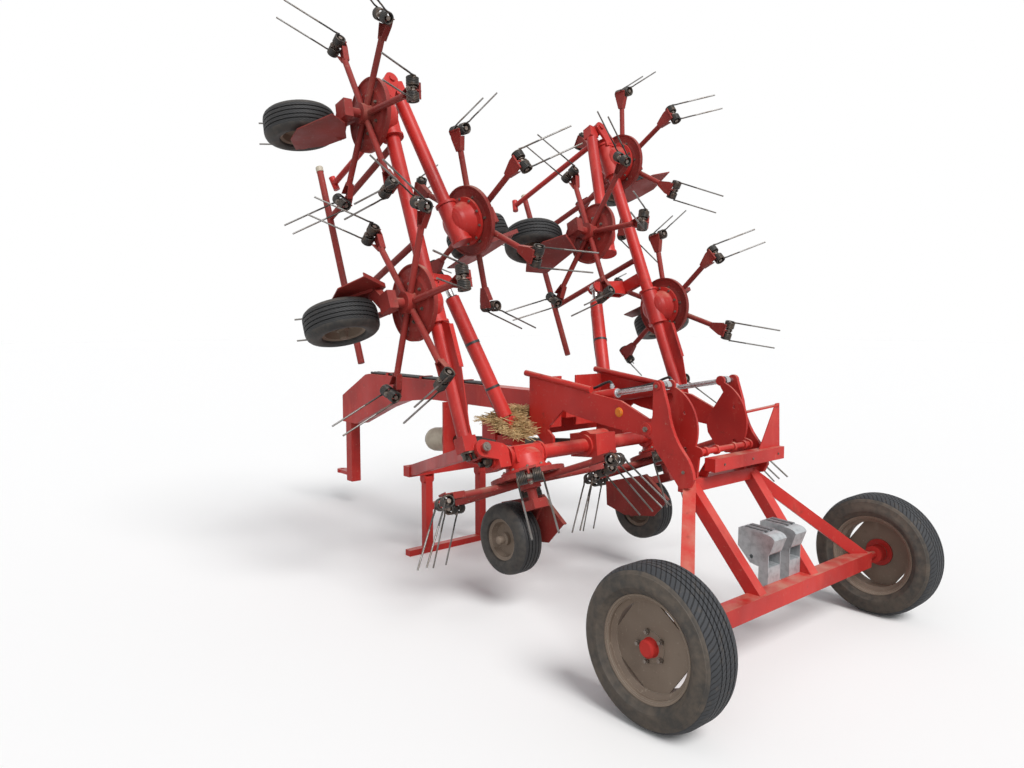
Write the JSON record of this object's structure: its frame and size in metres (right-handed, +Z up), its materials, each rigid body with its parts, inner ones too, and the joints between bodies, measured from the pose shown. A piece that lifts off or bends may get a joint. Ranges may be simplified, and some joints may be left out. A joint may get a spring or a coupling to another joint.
{
  "type": "trailed hay tedder",
  "caption": "Hay tedder folded up on its transport carriage, with upright tined rotors on two hinged wings, gauge wheels, a gooseneck drawbar and a parking stand.",
  "frame": {"origin": "on the ground, under the middle of the machine's bounding box", "axes": "+X forward to the tractor, +Y to the machine's left, +Z up"},
  "size_m": [4.6319, 2.994, 3.3963],
  "materials": {
    "paint": "satin orange-red paint",
    "arm_paint": "worn, darker red paint",
    "steel": "dull spring steel",
    "rubber": "matte black rubber",
    "tyre": "matte black tyre",
    "rim": "dusty beige paint",
    "cream": "matte cream plastic",
    "zinc": "galvanised"
  },
  "bodies": {
    "machine": {"drawbar": "paint", "drop_leg": "paint", "shaft_guard": "cream", "gear_beam": "paint", "side_plates": "paint", "front_frame": "paint", "cylinder_mount": "paint", "centre_legs": "arm_paint", "hoses": "rubber"},
    "drive_shaft": {"drive_shaft": "steel"},
    "stand": {"stand": "paint"},
    "carriage": {"sickle_plates": "paint", "carriage_frame": "paint", "wheel_chocks": "zinc"},
    "carriage_barrels": {"carriage_barrels": "paint"},
    "carriage_rods": {"carriage_rods": "steel"},
    "wheel_left": {"rim_left": "rim", "tyre_left": "tyre"},
    "wheel_right": {"rim_right": "rim", "tyre_right": "tyre"},
    "wing_left": {"wing_beam_left": "paint", "wing_guard_left": "arm_paint", "wing_legs_left": "arm_paint"},
    "outer_left": {"outer_beam_left": "paint", "outer_leg_left": "arm_paint"},
    "lift_barrel_left": {"lift_barrel_left": "paint"},
    "lift_rod_left": {"lift_rod_left": "steel"},
    "rotor_centre_left": {"rotor_centre_left": "arm_paint", "tines_centre_left": "steel"},
    "gauge_centre_left": {"gauge_centre_left": "tyre"},
    "rotor_inner_left": {"rotor_inner_left": "arm_paint", "tines_inner_left": "steel"},
    "gauge_inner_left": {"gauge_inner_left": "tyre"},
    "rotor_middle_left": {"rotor_middle_left": "arm_paint", "tines_middle_left": "steel"},
    "gauge_middle_left": {"gauge_middle_left": "tyre"},
    "rotor_outer_left": {"rotor_outer_left": "arm_paint", "tines_outer_left": "steel"},
    "gauge_outer_left": {"gauge_outer_left": "tyre"},
    "wing_right": {"wing_beam_right": "paint", "wing_guard_right": "arm_paint", "wing_legs_right": "arm_paint"},
    "outer_right": {"outer_beam_right": "paint", "outer_leg_right": "arm_paint"},
    "lift_barrel_right": {"lift_barrel_right": "paint"},
    "lift_rod_right": {"lift_rod_right": "steel"},
    "rotor_centre_right": {"rotor_centre_right": "arm_paint", "tines_centre_right": "steel"},
    "gauge_centre_right": {"gauge_centre_right": "tyre"},
    "rotor_inner_right": {"rotor_inner_right": "arm_paint", "tines_inner_right": "steel"},
    "gauge_inner_right": {"gauge_inner_right": "tyre"},
    "rotor_middle_right": {"rotor_middle_right": "arm_paint", "tines_middle_right": "steel"},
    "gauge_middle_right": {"gauge_middle_right": "tyre"},
    "rotor_outer_right": {"rotor_outer_right": "arm_paint", "tines_outer_right": "steel"},
    "gauge_outer_right": {"gauge_outer_right": "tyre"}
  },
  "joints": [
    {"name": "drive_shaft_turn", "type": "hinge", "parent": "machine", "child": "drive_shaft", "pos_m": [0.936, 0, 0.697], "axis": [0.9953, 0, -0.0973], "continuous": true},
    {"name": "stand_swing", "type": "hinge", "parent": "machine", "child": "stand", "pos_m": [0.496, 0.08, 0.505], "axis": [0, -1, 0], "range_deg": [0, 80]},
    {"name": "carriage_fold", "type": "hinge", "parent": "machine", "child": "carriage", "pos_m": [-1.416, 0, 1.048], "axis": [0, 1, 0], "range_deg": [0, 55]},
    {"name": "carriage_barrel_turn", "type": "hinge", "parent": "machine", "child": "carriage_barrels", "pos_m": [-0.594, 0, 1.095], "axis": [0, 1, 0], "range_deg": [-5, 5]},
    {"name": "carriage_rod_slide", "type": "slide", "parent": "carriage_barrels", "child": "carriage_rods", "axis": [-0.9825, 0, 0.1864], "range_m": [-0.25, 0.005]},
    {"name": "wheel_left_turn", "type": "hinge", "parent": "carriage", "child": "wheel_left", "pos_m": [-1.994, 0.928, 0.322], "axis": [0, 1, 0], "continuous": true},
    {"name": "wheel_right_turn", "type": "hinge", "parent": "carriage", "child": "wheel_right", "pos_m": [-1.994, -0.928, 0.322], "axis": [0, 1, 0], "continuous": true},
    {"name": "wing_left_fold", "type": "hinge", "parent": "machine", "child": "wing_left", "pos_m": [-0.75, 0.85, 0.912], "axis": [-0.9265, 0, 0.3762], "range_deg": [0, 90]},
    {"name": "outer_left_fold", "type": "hinge", "parent": "wing_left", "child": "outer_left", "pos_m": [0.06114, 0.854, 2.9096], "axis": [-0.9265, 0, 0.3762], "range_deg": [0, 168]},
    {"name": "lift_left_turn", "type": "hinge", "parent": "machine", "child": "lift_barrel_left", "pos_m": [-0.4926, 0.416, 0.98772], "axis": [-0.9265, 0, 0.3762], "range_deg": [-2, 80]},
    {"name": "lift_left_slide", "type": "slide", "parent": "lift_barrel_left", "child": "lift_rod_left", "axis": [0.3662, 0.2294, 0.9018], "range_m": [-0.005, 0.59]},
    {"name": "rotor_centre_left_turn", "type": "hinge", "parent": "machine", "child": "rotor_centre_left", "pos_m": [-0.81283, 0.555, 0.75727], "axis": [0.3762, 0, 0.9265], "continuous": true},
    {"name": "gauge_centre_left_turn", "type": "hinge", "parent": "machine", "child": "gauge_centre_left", "pos_m": [-0.66989, 0.555, 0.39163], "axis": [0, 1, 0], "continuous": true},
    {"name": "rotor_inner_left_turn", "type": "hinge", "parent": "wing_left", "child": "rotor_inner_left", "pos_m": [-0.44338, 1.017, 1.66712], "axis": [0, -1, 0], "continuous": true},
    {"name": "gauge_inner_left_turn", "type": "hinge", "parent": "wing_left", "child": "gauge_inner_left", "pos_m": [-0.19321, 1.302, 1.56554], "axis": [0.3762, 0, 0.9265], "continuous": true},
    {"name": "rotor_middle_left_turn", "type": "hinge", "parent": "wing_left", "child": "rotor_middle_left", "pos_m": [-0.02577, 1.017, 2.69557], "axis": [0, -1, 0], "continuous": true},
    {"name": "gauge_middle_left_turn", "type": "hinge", "parent": "wing_left", "child": "gauge_middle_left", "pos_m": [0.23872, 1.302, 2.64128], "axis": [0.2011, 0, 0.9796], "continuous": true},
    {"name": "rotor_outer_left_turn", "type": "hinge", "parent": "outer_left", "child": "rotor_outer_left", "pos_m": [-0.24959, 0.51181, 2.14437], "axis": [-0.0782, 0.9781, -0.1926], "continuous": true},
    {"name": "gauge_outer_left_turn", "type": "hinge", "parent": "outer_left", "child": "gauge_outer_left", "pos_m": [0.02287, 0.23303, 2.09769], "axis": [-0.368, -0.2079, -0.9063], "continuous": true},
    {"name": "wing_right_fold", "type": "hinge", "parent": "machine", "child": "wing_right", "pos_m": [-0.75, -0.85, 0.912], "axis": [0.9265, 0, -0.3762], "range_deg": [0, 90]},
    {"name": "outer_right_fold", "type": "hinge", "parent": "wing_right", "child": "outer_right", "pos_m": [0.06114, -0.854, 2.9096], "axis": [0.9265, 0, -0.3762], "range_deg": [0, 168]},
    {"name": "lift_right_turn", "type": "hinge", "parent": "machine", "child": "lift_barrel_right", "pos_m": [-0.4926, -0.416, 0.98772], "axis": [0.9265, 0, -0.3762], "range_deg": [-2, 80]},
    {"name": "lift_right_slide", "type": "slide", "parent": "lift_barrel_right", "child": "lift_rod_right", "axis": [0.3662, -0.2294, 0.9018], "range_m": [-0.005, 0.59]},
    {"name": "rotor_centre_right_turn", "type": "hinge", "parent": "machine", "child": "rotor_centre_right", "pos_m": [-0.81283, -0.555, 0.75727], "axis": [0.3762, 0, 0.9265], "continuous": true},
    {"name": "gauge_centre_right_turn", "type": "hinge", "parent": "machine", "child": "gauge_centre_right", "pos_m": [-0.66989, -0.555, 0.39163], "axis": [0, -1, 0], "continuous": true},
    {"name": "rotor_inner_right_turn", "type": "hinge", "parent": "wing_right", "child": "rotor_inner_right", "pos_m": [-0.44338, -1.017, 1.66712], "axis": [0, 1, 0], "continuous": true},
    {"name": "gauge_inner_right_turn", "type": "hinge", "parent": "wing_right", "child": "gauge_inner_right", "pos_m": [-0.19321, -1.302, 1.56554], "axis": [0.3762, 0, 0.9265], "continuous": true},
    {"name": "rotor_middle_right_turn", "type": "hinge", "parent": "wing_right", "child": "rotor_middle_right", "pos_m": [-0.02577, -1.017, 2.69557], "axis": [0, 1, 0], "continuous": true},
    {"name": "gauge_middle_right_turn", "type": "hinge", "parent": "wing_right", "child": "gauge_middle_right", "pos_m": [0.22439, -1.302, 2.59399], "axis": [0.3762, 0, 0.9265], "continuous": true},
    {"name": "rotor_outer_right_turn", "type": "hinge", "parent": "outer_right", "child": "rotor_outer_right", "pos_m": [-0.24959, -0.51181, 2.14437], "axis": [-0.0782, -0.9781, -0.1926], "continuous": true},
    {"name": "gauge_outer_right_turn", "type": "hinge", "parent": "outer_right", "child": "gauge_outer_right", "pos_m": [0.02287, -0.23303, 2.09769], "axis": [-0.368, 0.2079, -0.9063], "continuous": true}
  ],
  "couplings": [
    {"joint": "carriage_barrel_turn", "follows": "carriage_fold", "ratio": -0.008566},
    {"joint": "carriage_rod_slide", "follows": "carriage_fold", "m_per_rad": -0.2132},
    {"joint": "outer_left_fold", "follows": "wing_left_fold", "ratio": 1.8667},
    {"joint": "lift_left_turn", "follows": "wing_left_fold", "ratio": 0.82586},
    {"joint": "lift_left_slide", "follows": "wing_left_fold", "m_per_rad": 0.36827},
    {"joint": "rotor_centre_left_turn", "follows": "drive_shaft_turn", "ratio": -0.3125},
    {"joint": "rotor_inner_left_turn", "follows": "drive_shaft_turn", "ratio": 0.3125},
    {"joint": "rotor_middle_left_turn", "follows": "drive_shaft_turn", "ratio": -0.3125},
    {"joint": "rotor_outer_left_turn", "follows": "drive_shaft_turn", "ratio": 0.3125},
    {"joint": "outer_right_fold", "follows": "wing_right_fold", "ratio": 1.8667},
    {"joint": "lift_right_turn", "follows": "wing_right_fold", "ratio": 0.82586},
    {"joint": "lift_right_slide", "follows": "wing_right_fold", "m_per_rad": 0.36827},
    {"joint": "rotor_centre_right_turn", "follows": "drive_shaft_turn", "ratio": 0.3125},
    {"joint": "rotor_inner_right_turn", "follows": "drive_shaft_turn", "ratio": -0.3125},
    {"joint": "rotor_middle_right_turn", "follows": "drive_shaft_turn", "ratio": 0.3125},
    {"joint": "rotor_outer_right_turn", "follows": "drive_shaft_turn", "ratio": -0.3125}
  ]
}
